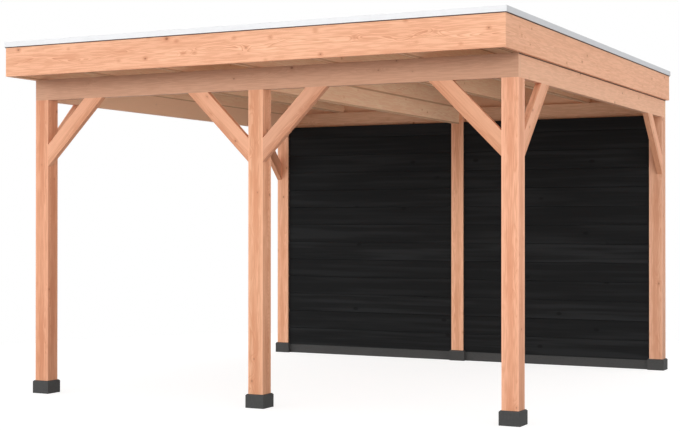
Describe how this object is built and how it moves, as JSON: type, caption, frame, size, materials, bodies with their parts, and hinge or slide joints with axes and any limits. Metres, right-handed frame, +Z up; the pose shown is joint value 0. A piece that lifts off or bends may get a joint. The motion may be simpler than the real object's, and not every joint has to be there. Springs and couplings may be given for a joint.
{
  "type": "flat-roofed timber carport",
  "caption": "Open timber carport with square posts, angled braces, a flat roof with fascia and metal edge, and a black boarded back wall.",
  "frame": {"origin": "on the ground under the middle of the roof's outline", "axes": "+X to the right along the open front, +Y to the back wall, +Z up"},
  "size_m": [4.076, 4.371, 2.725],
  "materials": {
    "frame_timber": "planed softwood, untreated",
    "fascia_timber": "planed softwood with open grain, untreated",
    "black_boards": "black impregnated boards, matt",
    "concrete": "dark grey cast concrete, matt",
    "roof_sheet": "black roofing sheet, matt",
    "edge_trim": "pale grey folded metal, satin"
  },
  "bodies": {
    "root": {"base_back_left": "concrete", "base_back_middle": "concrete", "base_back_right": "concrete", "base_front_left": "concrete", "base_front_middle": "concrete", "base_front_right": "concrete", "beam_back": "frame_timber", "beam_front": "frame_timber", "beam_left": "frame_timber", "beam_middle": "frame_timber", "beam_right": "frame_timber", "brace_front_left": "frame_timber", "brace_front_middle_left": "frame_timber", "brace_front_middle_right": "frame_timber", "brace_front_right": "frame_timber", "brace_left_back": "frame_timber", "brace_left_front": "frame_timber", "brace_right_back": "frame_timber", "brace_right_front": "frame_timber", "fascia_back": "fascia_timber", "fascia_front": "fascia_timber", "fascia_left": "fascia_timber", "fascia_right": "fascia_timber", "post_back_left": "frame_timber", "post_back_middle": "frame_timber", "post_back_right": "frame_timber", "post_front_left": "frame_timber", "post_front_middle": "frame_timber", "post_front_right": "frame_timber", "rafter_1": "frame_timber", "rafter_2": "frame_timber", "rafter_3": "frame_timber", "rafter_4": "frame_timber", "rafter_5": "frame_timber", "rafter_6": "frame_timber", "rafter_7": "frame_timber", "roof_boarding": "frame_timber", "roof_covering": "roof_sheet", "sill_left": "concrete", "sill_right": "concrete", "trim_back": "edge_trim", "trim_front": "edge_trim", "trim_left": "edge_trim", "trim_right": "edge_trim", "wall_left": "black_boards", "wall_right": "black_boards"}
  },
  "joints": []
}
